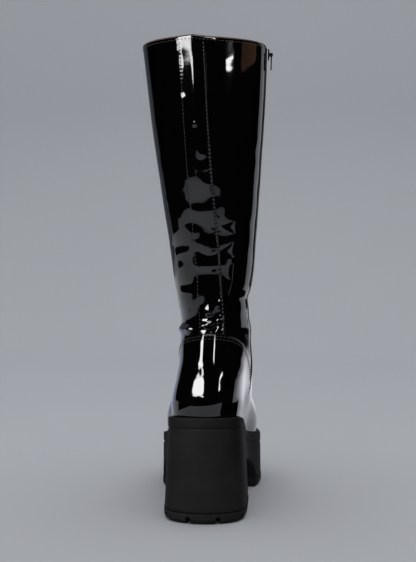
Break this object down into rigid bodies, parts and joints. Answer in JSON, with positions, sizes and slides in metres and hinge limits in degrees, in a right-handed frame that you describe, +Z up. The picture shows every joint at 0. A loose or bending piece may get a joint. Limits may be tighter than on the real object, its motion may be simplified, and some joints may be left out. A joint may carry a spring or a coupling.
{
  "type": "knee-high platform boot",
  "caption": "Knee-high left boot in glossy patent with a sewn back strip, medial zip and a chunky lugged platform sole with a block heel.",
  "frame": {"origin": "on the floor under the middle of the boot's bounding box", "axes": "+Z up, +Y towards the toe, +X towards the inner (medial) side, where the zip is"},
  "size_m": [0.1285, 0.2686, 0.4577],
  "materials": {
    "patent": "mirror-gloss black patent",
    "rubber": "matte black moulded rubber",
    "sock": "matte black sock",
    "tape": "woven black tape",
    "zip_teeth": "black coil teeth",
    "zip_metal": "gloss black metal"
  },
  "bodies": {
    "boot": {"upper": "patent", "heel_counter": "patent", "back_strip": "patent", "insole": "sock", "platform_sole": "rubber", "heel_tread": "rubber", "forefoot_tread": "rubber", "zip_tape": "tape", "zip_chain": "zip_teeth", "zip_slider": "zip_metal"},
    "pull": {"zip_pull": "zip_metal"}
  },
  "joints": [
    {"name": "pull_swing", "type": "hinge", "parent": "boot", "child": "pull", "pos_m": [0.06264, -0.06676, 0.44926], "axis": [0.0002, -1, 0.008], "range_deg": [0, 150]}
  ]
}
